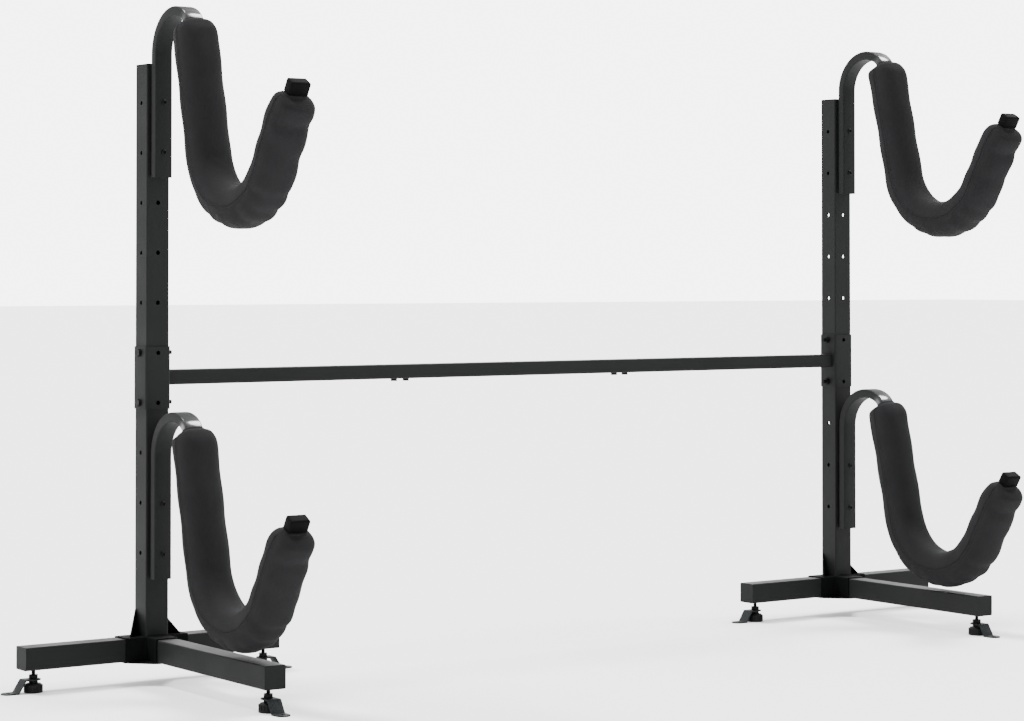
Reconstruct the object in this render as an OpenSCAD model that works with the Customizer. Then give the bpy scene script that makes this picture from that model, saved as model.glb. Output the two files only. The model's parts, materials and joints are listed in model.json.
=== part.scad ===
// Freestanding two-place kayak rack: two bolted T-shaped posts joined by a
// three-piece crossbar, four padded J-shaped cradle arms and six levelling feet.
// Millimetres, +Z up, floor at z = 0. X runs along the crossbar, the arms reach toward -Y.

/* [Posts] */
// Distance between the two post axes
post_spacing = 1838; // [1400:1:2400]
// Highest bolt hole to the top of the post, cap included
post_margin = 78; // [40:1:200]
// Outside width of the square post tube
post_size = 50; // [44:0.5:60]
// Wall of the post tube
post_wall = 2; // [1.5:0.1:3]
// Distance between neighbouring adjusting holes
hole_pitch = 100; // [90:1:100]
// Outer corner radius of all the steel tubes
tube_corner = 3; // [2.5:0.1:4]
// Thickness of the cap's plate on top of the post
post_cap_plate = 3; // [2:0.1:6]

/* [Base] */
// Outside width of the square leg tube
leg_size = 45; // [38:0.5:50]
// Wall of the leg tube
leg_wall = 2; // [1.5:0.1:3]
// Free height under the legs
leg_clear = 45; // [42:0.5:60]
// Post axis to the end of each side leg
side_reach = 282.5; // [200:0.5:450]
// Post axis to the end of the front leg
front_reach = 494; // [400:0.5:700]
// Post axis to the mouth of the sockets that hold the legs
socket_reach = 69; // [60:0.5:100]
// Wall of the leg sockets
socket_wall = 2; // [1.5:0.1:3]
// Play between a leg and its socket, each side
leg_fit = 0.5; // [0.2:0.05:0.8]
// Thickness of the end cap plate
end_cap_plate = 2.5; // [1.5:0.1:5]
// Height of the gusset plates above the sockets
gusset_height = 50.5; // [30:0.5:80]
// Reach of the gusset plates along the sockets, measured across the rack
gusset_reach = 30.5; // [20:0.5:40]
// Thickness of the gusset and corner plates
plate_thick = 3; // [2:0.1:6]

/* [Crossbar] */
// Outside width of the square crossbar tube
crossbar_size = 30; // [24:0.5:36]
// Wall of the crossbar tube
crossbar_wall = 1.5; // [1.2:0.1:2.5]
// Height of the post coupler
coupler_height = 125; // [120:1:180]
// Wall of the post coupler
coupler_wall = 2; // [1.5:0.1:3]
// Play between the coupler and the post, each side
coupler_fit = 0.3; // [0.1:0.05:0.6]
// Length of the crossbar's middle section
middle_length = 590; // [400:1:900]
// How far the middle section's centre lies left of the rack's centre
middle_shift = 33.5; // [0:0.5:80]
// Length of each splice insert
insert_length = 90; // [70:1:160]
// Play between a splice insert and the crossbar, each side
insert_fit = 0.3; // [0.1:0.05:0.5]
// Splice seam to each of its two bolts
splice_bolt_offset = 15; // [12:0.5:25]

/* [Cradle arms] */
// Width of the flat oval arm tube, along the crossbar
arm_width = 38; // [30:0.5:44]
// Thickness of the arm tube
arm_thick = 20; // [16:0.5:26]
// Wall of the arm tube
arm_wall = 1.8; // [1.2:0.1:2.5]
// Gap between the arm and the post, filled by the spacers
arm_gap = 4.3; // [2:0.1:10]
// Arm's lower end to its lower bolt
arm_tail = 50; // [30:1:60]
// Upper bolt to the start of the top bend
bend_start = 95; // [70:1:130]
// Centreline radius of the open part of the top bend
bend_radius = 80.5; // [70:0.5:100]
// Turn of the open part of the top bend
bend_turn = 115; // [100:1:120]
// Centreline radius of the tighter part of the bend inside the pad
tight_radius = 42.4; // [41:0.1:55]
// Slope of the drop from the vertical
drop_slope = 13.5; // [8:0.1:20]
// Length of the straight drop
drop_length = 256.4; // [200:0.1:320]
// Centreline radius of the cradle bottom
cradle_radius = 135.2; // [110:0.1:160]
// Slope of the outer upright from the vertical
rise_slope = 30.55; // [20:0.05:40]
// Length of the outer upright's tube
rise_length = 182; // [160:0.5:220]
// Wall of the rubber cap on the arm's end
arm_cap_wall = 1.5; // [1:0.1:3]
// Gap between the rubber cap and the pad's end hem
arm_cap_gap = 0.5; // [0.3:0.1:5]
// Height of the lower spacer above the arm's lower bolt
spacer_low = 30; // [15:0.5:40]
// Height of the upper spacer above the arm's lower bolt
spacer_high = 81; // [60:0.5:85]
// Diameter of the rubber spacers
spacer_d = 12; // [8:0.5:20]

/* [Pads] */
// Free height of the lower pads above the front legs, which sets the height of everything above
pad_clear = 13.9; // [5:0.1:60]
// Width of the pad, along the crossbar
pad_width = 81.4; // [70:0.1:90]
// Thickness of the pad, in the plane of the arm
pad_thick = 79.2; // [70:0.1:81]
// Corner shape of the pad's section: 2 is an ellipse, more is squarer
pad_square = 2.6; // [2:0.1:4]
// Turn of the top bend at which the pad's hem lies
pad_hem_turn = 147; // [130:1:155]
// Free end of the arm tube left past the pad's end hem
pad_end_margin = 24; // [20:0.5:60]
// Length over which the pad draws in to its upper hem, on the cradle's side
pad_draw_top = 33; // [10:0.5:40]
// Length over which the pad draws in to its upper hem, on the post's side
pad_draw_top_back = 20; // [10:0.5:40]
// Length over which the pad draws in to its end hem, on the cradle's side
pad_draw_end = 52; // [10:0.5:60]
// Length over which the pad draws in to its end hem, on the outer side
pad_draw_end_outer = 16; // [10:0.5:60]
// Play between the pad's sleeve and the arm
pad_fit = 0.8; // [0.6:0.05:0.95]
// Thickness of the cloth hem beyond the sleeve
pad_hem = 4; // [2:0.1:8]

/* [Fasteners] */
// Thread diameter of the bolts
bolt_d = 8; // [6:0.5:8.5]
// Play between a bolt and its hole, each side
bolt_play = 0.5; // [0.3:0.05:0.6]
// Width across the flats of the hexagon heads and nuts
hex_flats = 13; // [12:0.5:15]
// Height of a hexagon head
head_height = 5.3; // [4:0.1:7]
// Height of a nut
nut_height = 6.5; // [5:0.1:8]
// Diameter of the arm bolts' round heads
arm_head_d = 12; // [11:0.5:14]
// Height of the arm bolts' round heads
arm_head_height = 3.2; // [3:0.1:5]
// Height of the straight rim of a round head
arm_head_rim = 1; // [0.5:0.1:2]
// Width across the flats of the hexagon socket in a round head
arm_socket_flats = 5; // [4:0.5:6]
// Depth of the hexagon socket in a round head
arm_socket_depth = 2; // [1:0.1:2.5]
// Diameter of the flange under the coupler bolt heads and nuts
flange_d = 16; // [15:0.5:20]
// Thickness of the flanges
flange_thick = 1.5; // [1:0.1:2]
// Length of the coupler bolts under the head
coupler_bolt_length = 70; // [70:1:90]
// Length of the arm bolts under the head
arm_bolt_length = 85; // [85:1:110]
// Length of the splice bolts under the head
splice_bolt_length = 16; // [12:0.5:20]

/* [Feet] */
// Leg end to the axis of its foot
foot_inset = 26; // [24:0.5:40]
// Diameter of the foot's grip pad
foot_d = 37; // [32:0.5:40]
// Height of the foot's grip pad
foot_height = 18; // [16:0.5:20]
// Ribs round the grip pad
foot_ribs = 18; // [12:1:24]
// Thread diameter of the levelling stud
stud_d = 8; // [6:0.5:10]
// Height of the stud's end above the leg's underside
stud_engage = 26; // [24:0.5:27]
// Width across the flats of the foot's collar and lock nut
foot_nut_flats = 17; // [14:0.5:20]
// Height of the collar between the grip pad and the anchor strap
foot_collar_height = 6; // [4:0.1:8]
// Height of the lock nut above the anchor strap
foot_nut_height = 8; // [5:0.1:9]
// Width of the anchor strap
strap_width = 29; // [26:0.5:34]
// Thickness of the anchor strap
strap_thick = 2.5; // [2:0.1:4]
// Foot axis to the top of the strap's slope
strap_shoulder = 22.5; // [21:0.5:26]
// Foot axis to the foot of the strap's slope
strap_toe = 37.5; // [34:0.5:44]
// Foot axis to the strap's floor hole
strap_hole_reach = 52.5; // [52:0.5:70]
// Diameter of the strap's floor hole
strap_hole_d = 9; // [6:0.5:12]
// Play of the strap between the collar and the lock nut, each side
strap_play = 0.15; // [0.1:0.01:0.3]

/* [Hidden] */
$fn = 64;

steel = [0.22, 0.23, 0.23];
plain_steel = [0.45, 0.45, 0.44];
rubber = [0.08, 0.08, 0.08];
cloth = [0.14, 0.14, 0.15];

LEFT = -1;
RIGHT = 1;

// Base
leg_mid = leg_clear + leg_size / 2;
socket_size = leg_size + 2 * (leg_fit + socket_wall);
socket_top = leg_mid + socket_size / 2;
leg_root = post_size / 2 + 1;      // inner end of a leg inside its socket
side_leg_end = side_reach - end_cap_plate;
front_leg_end = front_reach - end_cap_plate;
side_foot = side_reach - foot_inset;
front_foot = front_reach - foot_inset;
weld_leg = 3;                      // corner welds between the sockets
weld_depth = 1;                    // how deep plates and welds are let into the socket walls
plug_depth = 14;
plug_play = 0.3;
plug_wall = 2;
gusset_turn = 50;                  // turn of the gusset plates from the crossbar's direction
gusset_nose = 1;                   // blunt height of the gusset plates' ends
gusset_start = post_size / 2 - tube_corner - plate_thick / (2 * cos(gusset_turn));

// Arm path, seen from the side: [distance in front of the post axis, height above the arm's lower end]
arm_axis = post_size / 2 + arm_gap + arm_thick / 2;
arm_tip_play = 0.3;
arm_cap_end = 2 * arm_cap_wall;    // thickness of the cap past the tube's end
arm_cap_length = arm_cap_end + pad_end_margin - arm_cap_gap;
function along(p, a, d) = p + d * [cos(a), sin(a)];
function right_of(a) = [sin(a), -cos(a)];
a_up = 90;
a_tight = a_up - bend_turn;
a_drop = drop_slope - a_up;
a_rise = a_up - rise_slope;
p_start = [arm_axis, 0];
upright_length = arm_tail + hole_pitch + bend_start;
p_bend = along(p_start, a_up, upright_length);
c_bend = p_bend + bend_radius * right_of(a_up);
p_tight = c_bend - bend_radius * right_of(a_tight);
c_tight = p_tight + tight_radius * right_of(a_tight);
p_drop = c_tight - tight_radius * right_of(a_drop);
p_cradle = along(p_drop, a_drop, drop_length);
c_cradle = p_cradle - cradle_radius * right_of(a_drop);
p_rise = c_cradle + cradle_radius * right_of(a_rise);
p_tip = along(p_rise, a_rise, rise_length);
cradle_turn = a_rise - a_drop;
arc_step = 5;
// Stations of a bend as [point, direction]: side is 1 where the bend's centre lies to the right, -1 to the left
function bend_stations(c, radius, from, to, side, step) =
  let (n = ceil(abs(to - from) / step))
  [for (i = [0 : n]) let (a = from + (to - from) * i / n) [c - side * radius * right_of(a), a]];
function arm_stations(past) = concat(
  [[along(p_start, a_up, -past), a_up]],
  bend_stations(c_bend, bend_radius, a_up, a_tight, 1, arc_step),
  bend_stations(c_tight, tight_radius, a_tight - arc_step, a_drop, 1, arc_step),
  bend_stations(c_cradle, cradle_radius, a_drop, a_rise, -1, arc_step),
  [[along(p_tip, a_rise, past), a_rise]]);
function reversed(list) = [for (i = [len(list) - 1 : -1 : 0]) list[i]];

// Posts and coupler
post_bottom = leg_mid - socket_size / 2;
coupler_size = post_size + 2 * (coupler_fit + coupler_wall);
bolt_hole = bolt_d + 2 * bolt_play;
upper_holes = [1, 2, 3, 4, 5, 6];
lower_holes = [0, -1, -2, -3];
upper_arm_step = 5;                // hole of the upper arms' lower bolts
lower_arm_step = -3;
joint_height = leg_clear + leg_size + pad_clear + pad_thick / 2 + cradle_radius - c_cradle.y
  + arm_tail - (lower_arm_step - 0.5) * hole_pitch;
function hole_z(step) = joint_height + (step - 0.5) * hole_pitch;
post_top = hole_z(upper_holes[len(upper_holes) - 1]) + post_margin;
post_tube_top = post_top - post_cap_plate;

// Crossbar
seam_left = -middle_shift - middle_length / 2;
seam_right = -middle_shift + middle_length / 2;
crossbar_end = post_spacing / 2 - coupler_size / 2;
insert_size = crossbar_size - 2 * (crossbar_wall + insert_fit);
insert_wall = 2;

// Pad rings along the same path: [centre, direction, distance to the top hem, distance to the end hem]
hem_angle = a_up - pad_hem_turn;
ring_step = 7.5;
tight_steps = ceil((hem_angle - a_drop) / ring_step) + 1;
drop_steps = 7;
drop_lean = 1.4;                   // more than 1 draws the straight part's rings toward the top hem
cradle_steps = ceil(cradle_turn / ring_step);
rise_steps = 9;
rise_lean = 1.5;                   // more than 1 draws the outer upright's rings toward the end hem
pad_rise = rise_length - pad_end_margin;
tight_arc = tight_radius * (hem_angle - a_drop) * PI / 180;
cradle_arc = cradle_radius * cradle_turn * PI / 180;
pad_run = tight_arc + drop_length + cradle_arc + pad_rise;
pad_rings = concat(
  [for (i = [0 : tight_steps - 1])
    let (k = i / tight_steps, a = hem_angle + k * (a_drop - hem_angle))
    [c_tight - tight_radius * right_of(a), a, k * tight_arc]],
  [for (i = [0 : drop_steps - 1])
    let (k = pow(i / drop_steps, drop_lean))
    [along(p_drop, a_drop, k * drop_length), a_drop, tight_arc + k * drop_length]],
  [for (i = [0 : cradle_steps - 1])
    let (k = i / cradle_steps, a = a_drop + k * cradle_turn)
    [c_cradle + cradle_radius * right_of(a), a, tight_arc + drop_length + k * cradle_arc]],
  [for (i = [0 : rise_steps])
    let (k = 1 - pow(1 - i / rise_steps, rise_lean))
    [along(p_rise, a_rise, k * pad_rise), a_rise, pad_run - (1 - k) * pad_rise]]);
pad_sides = 16;
bore_sides = 4;
sleeve_half_width = arm_width / 2 + pad_fit;
sleeve_half_thick = arm_thick / 2 + pad_fit;
hem_half_width = sleeve_half_width + pad_hem;
hem_half_thick = sleeve_half_thick + pad_hem;
function shoulder(d, reach) = d >= reach ? 1 : sqrt(max(0, 1 - pow(1 - d / reach, 2)));
function swell(small, full, d, top, end) =
  small + (full - small) * min(shoulder(d, top), shoulder(pad_run - d, end));
function power(v) = sign(v) * pow(abs(v), 2 / pad_square);
function pad_half_width(d) = swell(hem_half_width, pad_width / 2, d,
  (pad_draw_top + pad_draw_top_back) / 2, (pad_draw_end + pad_draw_end_outer) / 2);
function pad_half_thick(d, outer) = outer
  ? swell(hem_half_thick, pad_thick / 2, d, pad_draw_top_back, pad_draw_end_outer)
  : swell(hem_half_thick, pad_thick / 2, d, pad_draw_top, pad_draw_end);

// Reach of the whole rack in front of and behind the post axes, which puts the origin in the middle
pad_reach = max([for (r = pad_rings) max([for (p = pad_ring(r)) p.x])]);
cap_reach = (along(p_tip, a_rise, arm_cap_end)
  + (arm_thick / 2 + arm_tip_play + arm_cap_wall) * right_of(a_rise)).x;
strap_reach = front_foot + strap_hole_reach + strap_width / 2;
reach_front = max(pad_reach, cap_reach, strap_reach);
reach_back = max(arm_bolt_length - arm_axis - arm_thick / 2, coupler_size / 2);
post_y = (reach_front - reach_back) / 2;

// Feet
strap_bottom = foot_height + foot_collar_height + strap_play;
strap_top = strap_bottom + strap_thick;
foot_nut_bottom = strap_top + strap_play;
stud_top = leg_clear + stud_engage;
stud_seat = 3;                     // height of the stud's end inside the grip pad
insert_height = 9;
thread_play = 0.15;
foot_sole = 4;                     // height of the smooth ring under the ribs
foot_draw = 3;                     // height over which the grip pad draws in at the top
rib_r = 1.3;
foot_core = foot_d / 2 - rib_r;

// ---------- shared forms ----------

// Rectangle with rounded corners, centred
module rounded_rect(w, h, r) {
  square([w - 2 * r, h], center = true);
  square([w, h - 2 * r], center = true);
  for (x = [-1, 1], y = [-1, 1])
    translate([x * (w / 2 - r), y * (h / 2 - r)]) circle(r = r);
}

module tube_ring(w, h, wall) {
  difference() {
    rounded_rect(w, h, tube_corner);
    rounded_rect(w - 2 * wall, h - 2 * wall, tube_corner - min(wall, tube_corner - 0.5));
  }
}

// Square tube standing on z = 0
module square_tube(size, wall, length)
  linear_extrude(height = length) tube_ring(size, size, wall);

module hex_prism(flats, h) cylinder(d = flats / cos(30), h = h, $fn = 6);

// Moves to one frame's post axis on the floor
module at_frame(side) translate([side * post_spacing / 2, post_y, 0]) children();

// Turns +X to a leg's direction: 0 outer, 1 inner, 2 front
module toward(side, leg)
  rotate([0, 0, leg == 2 ? -90 : (leg == 0) == (side > 0) ? 0 : 180]) children();

function reach_of(leg) = leg == 2 ? front_leg_end : side_leg_end;
function foot_of(leg) = leg == 2 ? front_foot : side_foot;

module at_foot(side, leg)
  at_frame(side) toward(side, leg) translate([foot_of(leg), 0, 0]) children();

// Lays a piece that stands on z = 0 along +X at the height of the legs
module along_leg() translate([0, 0, leg_mid]) rotate([0, 90, 0]) children();

// ---------- base ----------

module base_hub() {
  for (a = [0, 180, -90])
    rotate([0, 0, a]) along_leg()
      translate([0, 0, post_size / 2])
        square_tube(socket_size, socket_wall, socket_reach - post_size / 2);
  for (m = [0, 1]) mirror([m, 0, 0]) translate([0, 0, post_bottom]) {
    linear_extrude(height = plate_thick) corner_plan(socket_reach - plate_thick);
    linear_extrude(height = socket_size - tube_corner) corner_plan(post_size / 2 + weld_leg);
  }
}

// Plan of what fills the corner between the side socket and the front one, let into both walls
module corner_plan(reach) {
  h = socket_size / 2;
  p = post_size / 2;
  polygon([[p, weld_depth - h], [reach, weld_depth - h], [reach, -h], [h, -reach],
           [h - weld_depth, -reach], [h - weld_depth, -p], [p, -p]]);
}

// Upright triangle from the post's rear corner forward over the socket
module gusset_plates()
  for (m = [0, 1]) mirror([m, 0, 0])
    difference() {
      translate([post_size / 2, gusset_start, socket_top])
        rotate([0, 0, -gusset_turn]) translate([-plate_thick, plate_thick / 2, 0])
          rotate([90, 0, 0]) linear_extrude(height = plate_thick)
            polygon([[0, 0], [plate_thick + gusset_reach / cos(gusset_turn), 0],
                     [plate_thick + gusset_reach / cos(gusset_turn), gusset_nose],
                     [plate_thick + gusset_nose, gusset_height], [0, gusset_height]]);
      translate([0, 0, socket_top + gusset_height / 2])
        cube([post_size, 3 * post_size, 2 * gusset_height], center = true);
    }

module leg(side, kind)
  at_frame(side) toward(side, kind) difference() {
    along_leg() translate([0, 0, leg_root])
      square_tube(leg_size, leg_wall, reach_of(kind) - leg_root);
    translate([foot_of(kind), 0, leg_clear - 1])
      cylinder(d = stud_d + 2 * bolt_play, h = leg_wall + 2);
  }

// Pushed-in plug with a plate that covers the tube's end
module leg_end_cap(side, kind)
  at_frame(side) toward(side, kind) along_leg() translate([0, 0, reach_of(kind)]) {
    linear_extrude(height = end_cap_plate) rounded_rect(leg_size, leg_size, tube_corner);
    translate([0, 0, -plug_depth]) difference() {
      linear_extrude(height = plug_depth)
        square(leg_size - 2 * (leg_wall + plug_play), center = true);
      translate([0, 0, -1]) linear_extrude(height = plug_depth)
        square(leg_size - 2 * (leg_wall + plug_play + plug_wall), center = true);
    }
  }

// Threaded insert welded on the leg's bottom wall, above the stud hole
module thread_insert(side, kind)
  at_foot(side, kind) translate([0, 0, leg_clear + leg_wall]) difference() {
    hex_prism(hex_flats + 3, insert_height);
    translate([0, 0, -1]) cylinder(d = stud_d + 2 * thread_play, h = insert_height + 2);
  }

// ---------- posts ----------

module post_holes(steps)
  for (s = steps) translate([0, 0, hole_z(s)]) for (a = [0, 90])
    rotate([90, 0, a]) cylinder(d = bolt_hole, h = 2 * post_size, center = true);

module lower_post() difference() {
  translate([0, 0, post_bottom])
    square_tube(post_size, post_wall, joint_height - post_bottom);
  post_holes(lower_holes);
}

module upper_post() difference() {
  translate([0, 0, joint_height])
    square_tube(post_size, post_wall, post_tube_top - joint_height);
  post_holes(upper_holes);
}

module post_cap() translate([0, 0, post_tube_top]) {
  linear_extrude(height = post_cap_plate) rounded_rect(post_size, post_size, tube_corner);
  translate([0, 0, -plug_depth]) difference() {
    linear_extrude(height = plug_depth)
      square(post_size - 2 * (post_wall + plug_play), center = true);
    translate([0, 0, -1]) linear_extrude(height = plug_depth)
      square(post_size - 2 * (post_wall + plug_play + plug_wall), center = true);
  }
}

module post_coupler() difference() {
  translate([0, 0, joint_height - coupler_height / 2])
    linear_extrude(height = coupler_height) difference() {
      rounded_rect(coupler_size, coupler_size, tube_corner + coupler_wall);
      rounded_rect(coupler_size - 2 * coupler_wall, coupler_size - 2 * coupler_wall, tube_corner);
    }
  post_holes([0, 1]);
}

// ---------- crossbar ----------

module crossbar(from, to, seams) difference() {
  translate([from, post_y, joint_height]) rotate([0, 90, 0])
    square_tube(crossbar_size, crossbar_wall, to - from);
  splice_bolt_places(seams)
    translate([0, 0, -crossbar_size]) cylinder(d = bolt_hole, h = crossbar_size);
}

module splice_bolt_places(seams)
  for (x = seams, m = [-1, 1])
    translate([x + m * splice_bolt_offset, post_y, joint_height]) children();

module splice_insert(x) difference() {
  translate([x - insert_length / 2, post_y, joint_height]) rotate([0, 90, 0])
    linear_extrude(height = insert_length) difference() {
      rounded_rect(insert_size, insert_size, 1.5);
      square(insert_size - 2 * insert_wall, center = true);
    }
  splice_bolt_places([x])
    translate([0, 0, -insert_size]) cylinder(d = bolt_d + 2 * thread_play, h = insert_size);
}

// ---------- cradle arms ----------

// Moves to an arm: X becomes the distance in front of the post axis, Z the height above the arm's lower end
module at_arm(side, step)
  at_frame(side) translate([0, 0, hole_z(step) - arm_tail]) rotate([0, 0, -90]) children();

// Bar of a given width whose side outline follows the arm's path at a distance to both sides
module arm_bar(width, half_thick, past)
  rotate([90, 0, 0]) linear_extrude(height = width, center = true)
    polygon(concat(
      [for (s = arm_stations(past)) s[0] + half_thick * right_of(s[1])],
      [for (s = reversed(arm_stations(past))) s[0] - half_thick * right_of(s[1])]));

module cradle_arm() difference() {
  arm_bar(arm_width, arm_thick / 2, 0);
  arm_bar(arm_width - 2 * arm_wall, arm_thick / 2 - arm_wall, 1);
  for (z = [arm_tail, arm_tail + hole_pitch])
    translate([arm_axis, 0, z]) rotate([0, 90, 0])
      cylinder(d = bolt_hole, h = 2 * arm_thick, center = true);
}

// Rubber cap pushed over the arm's end
module arm_cap()
  translate([p_tip.x, 0, p_tip.y]) rotate([0, 90 - a_rise, 0]) difference() {
    translate([0, 0, arm_cap_end - arm_cap_length])
      linear_extrude(height = arm_cap_length)
        rounded_rect(arm_thick + 2 * (arm_tip_play + arm_cap_wall),
                     arm_width + 2 * (arm_tip_play + arm_cap_wall), tube_corner);
    translate([0, 0, -arm_cap_length])
      linear_extrude(height = arm_cap_length)
        square([arm_thick + 2 * arm_tip_play, arm_width + 2 * arm_tip_play], center = true);
  }

// Padded sleeve: rings of a rounded-square section swept along the arm, with the arm's own bore
function ring_point(r, across, out) =
  let (c = r[0] + out * right_of(r[1])) [c.x, across, c.y];
function pad_ring(r) = [for (i = [0 : pad_sides - 1])
  let (a = (i + 0.5) * 360 / pad_sides)
  ring_point(r, pad_half_width(r[2]) * power(sin(a)),
             pad_half_thick(r[2], cos(a) > 0) * power(cos(a)))];
function bore_ring(r) = [for (c = [[1, 1], [-1, 1], [-1, -1], [1, -1]])
  ring_point(r, c.y * sleeve_half_width, c.x * sleeve_half_thick)];

module cradle_pad() {
  n = len(pad_rings);
  m = pad_sides;
  quarter = m / bore_sides;
  base = n * m;
  points = concat([for (r = pad_rings) each pad_ring(r)], [for (r = pad_rings) each bore_ring(r)]);
  skin = [for (i = [0 : n - 2], j = [0 : m - 1])
    let (a = i * m + j, b = i * m + (j + 1) % m)
    each [[a, b, b + m], [a, b + m, a + m]]];
  bore = [for (i = [0 : n - 2], j = [0 : 3])
    let (a = base + i * 4 + j, b = base + i * 4 + (j + 1) % 4)
    each [[a, b + 4, b], [a, a + 4, b + 4]]];
  function hem(i, flip) = [for (j = [0 : 3])
    let (corner = base + i * 4 + j, next = base + i * 4 + (j + 1) % 4,
         first = j * quarter, last = i * m + (first + quarter) % m)
    each concat(
      [for (k = [0 : quarter - 1])
        let (a = i * m + first + k, b = i * m + (first + k + 1) % m)
        flip ? [corner, b, a] : [corner, a, b]],
      [flip ? [corner, next, last] : [corner, last, next]])];
  polyhedron(points, concat(skin, bore, hem(0, true), hem(n - 1, false)));
}

module spacer_pair(side, step)
  at_arm(side, step) for (z = [spacer_low, spacer_high])
    translate([post_size / 2, 0, arm_tail + z]) rotate([0, 90, 0])
      cylinder(d = spacer_d, h = arm_gap);

// ---------- fasteners ----------

// Bolt along +Z from its head's seat at z = 0
module hex_bolt(length, flange) {
  translate([0, 0, -head_height]) hex_prism(hex_flats, head_height);
  if (flange) translate([0, 0, -flange_thick]) cylinder(d = flange_d, h = flange_thick);
  cylinder(d = bolt_d, h = length);
}

// Round-headed bolt with a hexagon socket, along +Z from its head's seat at z = 0
module socket_bolt(length) difference() {
  union() {
    translate([0, 0, -arm_head_rim]) cylinder(d = arm_head_d, h = arm_head_rim);
    translate([0, 0, -arm_head_height])
      cylinder(d1 = arm_head_d - 2 * (arm_head_height - arm_head_rim), d2 = arm_head_d,
               h = arm_head_height - arm_head_rim);
    cylinder(d = bolt_d, h = length);
  }
  translate([0, 0, -arm_head_height - 1]) hex_prism(arm_socket_flats, arm_socket_depth + 1);
}

module nut(flange) difference() {
  union() {
    hex_prism(hex_flats, nut_height);
    if (flange) cylinder(d = flange_d, h = flange_thick);
  }
  translate([0, 0, -1]) cylinder(d = bolt_d + 2 * thread_play, h = nut_height + 2);
}

// Coupler bolts run along the crossbar, with their heads on the rack's outer sides
module at_coupler_bolt(side)
  at_frame(side) for (s = [0, 1])
    translate([side * coupler_size / 2, 0, hole_z(s)]) rotate([0, -90 * side, 0]) children();

module at_arm_bolt(side, step)
  at_arm(side, step) for (z = [arm_tail, arm_tail + hole_pitch])
    translate([arm_axis + arm_thick / 2, 0, z]) rotate([0, -90, 0]) children();

module splice_bolt_set(x) splice_bolt_places([x])
  translate([0, 0, -crossbar_size / 2]) hex_bolt(splice_bolt_length, false);

// ---------- feet ----------

// Grip pad with upright ribs and a drawn-in top
module foot_pad() {
  rotate_extrude() polygon([
    [0, 0], [foot_d / 2 - 1, 0], [foot_d / 2, 1], [foot_d / 2, foot_sole],
    [stud_d / 2, foot_sole], [stud_d / 2, stud_seat], [0, stud_seat]]);
  translate([0, 0, foot_sole]) linear_extrude(height = foot_height - foot_draw - foot_sole)
    difference() {
      union() {
        circle(r = foot_core);
        for (i = [0 : foot_ribs - 1]) rotate(i * 360 / foot_ribs)
          translate([foot_core - rib_r, -rib_r]) square([2 * rib_r, 2 * rib_r]);
      }
      circle(d = stud_d);
    }
  rotate_extrude() polygon([
    [stud_d / 2, foot_height - foot_draw], [foot_core, foot_height - foot_draw],
    [foot_core - foot_draw, foot_height], [stud_d / 2, foot_height]]);
}

// Levelling stud with the collar below the anchor strap and the lock nut above it
module foot_stud() {
  translate([0, 0, stud_seat]) cylinder(d = stud_d, h = stud_top - stud_seat);
  for (c = [[foot_height, foot_collar_height], [foot_nut_bottom, foot_nut_height]])
    translate([0, 0, c[0]]) difference() {
      hex_prism(foot_nut_flats, c[1]);
      translate([0, 0, -1]) cylinder(d = stud_d + 2 * thread_play, h = c[1] + 2);
    }
}

// Bent strap held between the collar and the lock nut, with a round toe and a floor hole
module anchor_strap() {
  slope = atan2(strap_top - strap_thick, strap_toe - strap_shoulder);
  miter = strap_thick * tan(slope / 2);
  half = strap_width / 2;
  difference() {
    intersection() {
      translate([0, strap_width, 0]) rotate([90, 0, 0]) linear_extrude(height = 2 * strap_width)
        polygon([[-strap_width, strap_top], [strap_shoulder, strap_top], [strap_toe, strap_thick],
                 [strap_hole_reach + strap_width, strap_thick], [strap_hole_reach + strap_width, 0],
                 [strap_toe - miter, 0], [strap_shoulder - miter, strap_bottom],
                 [-strap_width, strap_bottom]]);
      translate([0, 0, -1]) linear_extrude(height = strap_top + 2) {
        circle(r = half);
        translate([0, -half]) square([strap_hole_reach, strap_width]);
        translate([strap_hole_reach, 0]) circle(r = half);
      }
    }
    translate([0, 0, strap_bottom - 1]) cylinder(d = stud_d + 2 * bolt_play, h = strap_thick + 2);
    translate([strap_hole_reach, 0, -1]) cylinder(d = strap_hole_d, h = strap_thick + 2);
  }
}

// ---------- nodes ----------

module left_base_hub() color(steel) at_frame(LEFT) base_hub();
module right_base_hub() color(steel) at_frame(RIGHT) base_hub();
module left_gusset_plates() color(steel) at_frame(LEFT) gusset_plates();
module right_gusset_plates() color(steel) at_frame(RIGHT) gusset_plates();
module left_outer_leg() color(steel) leg(LEFT, 0);
module left_inner_leg() color(steel) leg(LEFT, 1);
module left_front_leg() color(steel) leg(LEFT, 2);
module right_outer_leg() color(steel) leg(RIGHT, 0);
module right_inner_leg() color(steel) leg(RIGHT, 1);
module right_front_leg() color(steel) leg(RIGHT, 2);
module leg_end_caps() color(rubber)
  for (side = [LEFT, RIGHT], kind = [0, 1, 2]) leg_end_cap(side, kind);
module left_lower_post() color(steel) at_frame(LEFT) lower_post();
module right_lower_post() color(steel) at_frame(RIGHT) lower_post();
module left_upper_post() color(steel) at_frame(LEFT) upper_post();
module right_upper_post() color(steel) at_frame(RIGHT) upper_post();
module left_post_cap() color(rubber) at_frame(LEFT) post_cap();
module right_post_cap() color(rubber) at_frame(RIGHT) post_cap();
module left_post_coupler() color(steel) at_frame(LEFT) post_coupler();
module right_post_coupler() color(steel) at_frame(RIGHT) post_coupler();
module left_crossbar() color(steel) crossbar(-crossbar_end, seam_left, [seam_left]);
module middle_crossbar() color(steel) crossbar(seam_left, seam_right, [seam_left, seam_right]);
module right_crossbar() color(steel) crossbar(seam_right, crossbar_end, [seam_right]);
module left_splice_insert() color(plain_steel) splice_insert(seam_left);
module right_splice_insert() color(plain_steel) splice_insert(seam_right);
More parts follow.
